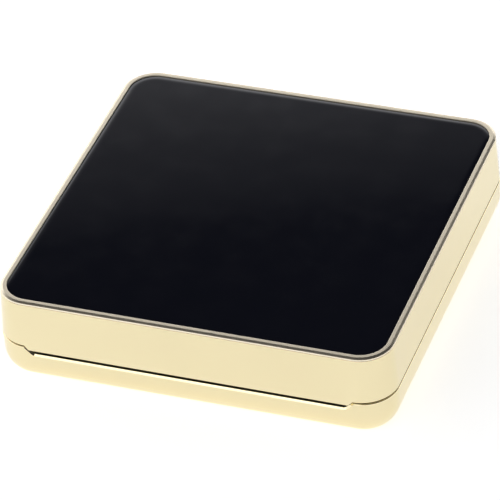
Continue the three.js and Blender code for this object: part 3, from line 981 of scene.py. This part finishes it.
class COMPACT_OT_mirror(bpy.types.Operator):
    """Mirror glass, its moulded frame and the adhesive sheets in the lid"""

    bl_idname = "compact.mirror"
    bl_label = "Mirror"

    def execute(self, context):
        s = context.scene.compact_inside
        low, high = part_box("mirror")
        outline = fillet(
            [(10 * MM, low.z), (high.x, low.z), (high.x, high.z), (10 * MM, high.z)],
            [0.12 * MM, 0.12 * MM], 4,
        )
        glass = square_loft("mirror_glass", outline, high.x - 3.7 * MM, 2.0 * MM)
        smooth(glass)
        place(glass, "mirror", "silvered_glass", silvered_glass(s.silver), "lid")

        frame_low, frame_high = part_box("mirror_frame")
        outer, opening, rabbet = frame_high.x, 30.6 * MM, 31.45 * MM
        bottom, seat = 13.4 * MM, low.z - SEAT
        corners = [
            (opening, seat), (opening + 0.35 * MM, bottom), (outer, bottom), (outer, frame_high.z),
            (rabbet, frame_high.z), (rabbet, seat), (opening, seat + 0.001 * MM),
        ]
        outline = fillet(corners, [0.15 * MM, 0.4 * MM, 0.4 * MM, 0.1 * MM, 0.05 * MM], 6)
        ring = square_loft("mirror_surround", outline, 31.15 * MM, 3.4 * MM, ring=True)
        boss = fillet(
            [(0, 8.9 * MM), (7 * MM, 8.9 * MM), (7 * MM, bottom + 0.3 * MM), (0, bottom + 0.3 * MM)],
            [0.6 * MM, 0], 6,
        )
        boss = np.concatenate([boss, boss[::-1][1:-1] * np.array([-1, 1])])
        carve(ring, prism("boss", boss, -34.9 * MM, -31.0 * MM, "Y"), "UNION")
        pocket = box_outline((-5.3 * MM, 8 * MM), (5.3 * MM, 11.2 * MM))
        carve(ring, prism("pocket", pocket, -34.2 * MM, -31.6 * MM, "Y"))
        back = HINGE[0] - KNUCKLE - SLOT_GAP
        gap = box_outline((back, 0), (FAR, HINGE[1] + SLOT_ABOVE + SLOT_GAP))
        carve(ring, prism("gap", gap, -FAR, FAR, "X"))
        smooth(ring)
        plastic = bpy.data.materials["spark_textured_abs"]
        place(ring, "mirror_frame", "black_abs", plastic, "lid")
        tape = bpy.data.materials["acrylic_foam_tape"]
        finish_node("mirror_adhesive", tape)
        finish_node("inlay_adhesive", tape)
        return {"FINISHED"}


class COMPACT_OT_hardware(bpy.types.Operator):
    """Hinge pin, magnets, weight plate and label"""

    bl_idname = "compact.hardware"
    bl_label = "Pin, magnets, weight and label"

    def execute(self, context):
        finish_node("hinge_pin", plated_steel("drawn_steel_wire", "C6C7C9", 0.24, 0.3, (0.1, 1, 1)))
        finish_node("base_weight", plated_steel("zinc_plated_sheet", "BFC2C4", 0.34, 1.4, (1, 1, 1)))
        nickel = plated_steel("nickel_plated_magnet", "C9C8C4", 0.2, 0.8, (1, 1, 1))
        finish_node("base_magnet", nickel)
        finish_node("lid_magnet", nickel)
        finish_node("base_label", soft_sheet("coated_label_paper", "D9CDAE", 0.45, 0.12, 0.004))
        return {"FINISHED"}


# ------------------------------------------------------------------ studio
class COMPACT_OT_studio(bpy.types.Operator):
    """Camera, floor, softbox and world"""

    bl_idname = "compact.studio"
    bl_label = "Studio"

    def execute(self, context):
        s = context.scene.compact_studio
        self.camera(context, s)
        self.floor(s)
        self.lights(context, s)
        context.scene.view_settings.view_transform = "Standard"
        return {"FINISHED"}

    def camera(self, context, s):
        """The camera stands back from the middle of the inlay and is then rolled."""
        a, e, r = s.azimuth, s.elevation, s.roll
        back = Vector((math.sin(a) * math.cos(e), -math.cos(a) * math.cos(e), math.sin(e)))
        right = Vector((math.cos(a), math.sin(a), 0))
        up = back.cross(right)
        x = math.cos(r) * right + math.sin(r) * up
        y = -math.sin(r) * right + math.cos(r) * up
        aim = Vector((0, 0, 17.9 * MM))
        lens = bpy.data.cameras.new("view")
        lens.sensor_width = 36
        lens.lens = s.lens
        lens.clip_start = 0.01
        camera = bpy.data.objects.new("view", lens)
        stand = Matrix((x, y, back)).transposed().to_4x4()
        stand.translation = aim + back * s.distance + x * s.aside + y * s.above
        camera.matrix_world = stand
        context.scene.collection.objects.link(camera)
        context.scene.camera = camera

    def floor(self, s):
        """A wide pale floor with a glow of its own, as a lit table has."""
        size, drop = 3.0, 0.02 * MM
        corners = np.array([(-size, -size, 0), (size, -size, 0), (size, size, 0), (-size, size, 0)])
        floor = new_mesh("floor", corners - np.array([0, 0, drop]), [[0, 1, 2, 3]])
        made, tree, shader = material("matte_white_table", s.floor, 0.8)
        shader.inputs["Emission Color"].default_value = (1, 1, 1, 1)
        shader.inputs["Emission Strength"].default_value = s.glow
        tooth = noise(tree, 3.0, 4.0)
        bump(tree, shader, tooth.outputs["Fac"], 0.01)
        floor.data.materials.append(made)

    def lights(self, context, s):
        """One large softbox overhead on the right, and a room that is bright near the floor,
        higher up on the left than on the right, and dark overhead."""
        lamp = bpy.data.lights.new("overhead", "AREA")
        lamp.energy = s.key
        lamp.size = 1.4
        holder = bpy.data.objects.new("overhead", lamp)
        holder.location = (0.7, 0.2, 1.2)
        holder.visible_glossy = False
        context.scene.collection.objects.link(holder)

        world = bpy.data.worlds.new("room")
        world.use_nodes = True
        tree = world.node_tree
        sky = add(tree, "ShaderNodeTexCoord").outputs["Generated"]
        axes = add(tree, "ShaderNodeSeparateXYZ", None, {"Vector": sky})
        # Both run smoothly from 0 to 1: towards the left, and towards the front.
        left = eased(tree, axes.outputs["X"], 0.35, -0.15)
        front = eased(tree, axes.outputs["Y"], -0.48, -0.64)
        reach = sums(tree, "MULTIPLY_ADD", front, FRONT_LIFT, BACK_LIFT)
        edge = sums(tree, "MULTIPLY_ADD", left, reach, LOW_EDGE - 0.5)
        height = sums(tree, "SUBTRACT", axes.outputs["Z"], edge)
        band = add(tree, "ShaderNodeValToRGB", None, {"Fac": height})
        ramp = band.color_ramp
        while len(ramp.elements) < len(GLOW_STOPS):
            ramp.elements.new(1.0)
        for element, (position, value) in zip(ramp.elements, GLOW_STOPS):
            element.position = position
            element.color = (value, value, value * 1.03, 1)
        tree.links.new(band.outputs["Color"], tree.nodes["Background"].inputs["Color"])
        context.scene.world = world


# ------------------------------------------------------------------ panel
OPERATORS = (
    COMPACT_OT_studio, COMPACT_OT_base, COMPACT_OT_lid, COMPACT_OT_bezel, COMPACT_OT_inlay,
    COMPACT_OT_tray, COMPACT_OT_powder, COMPACT_OT_puff, COMPACT_OT_mirror, COMPACT_OT_hardware,
)
GROUPS = {
    "compact_case": CompactCase, "compact_inside": CompactInside, "compact_studio": CompactStudio,
}


class VIEW3D_PT_compact(bpy.types.Panel):
    """Lists the compact's settings and building steps"""

    bl_idname = "VIEW3D_PT_compact"
    bl_label = "Powder Compact"
    bl_space_type = "VIEW_3D"
    bl_region_type = "UI"
    bl_category = "Compact"

    def draw(self, context):
        for operator in OPERATORS:
            self.layout.operator(operator.bl_idname)
        for name, group in GROUPS.items():
            box = self.layout.box()
            box.label(text=name.replace("_", " "))
            for key in group.__annotations__:
                box.prop(getattr(context.scene, name), key)


def register():
    for made in (*GROUPS.values(), *OPERATORS, VIEW3D_PT_compact):
        bpy.utils.register_class(made)
    for name, group in GROUPS.items():
        setattr(bpy.types.Scene, name, PointerProperty(type=group))


def unregister():
    for name in GROUPS:
        delattr(bpy.types.Scene, name)
    for made in (VIEW3D_PT_compact, *OPERATORS[::-1], *GROUPS.values()):
        bpy.utils.unregister_class(made)


def main():
    register()
    for operator in OPERATORS:
        group, step = operator.bl_idname.split(".")
        getattr(getattr(bpy.ops, group), step)()


if __name__ == "__main__":
    main()
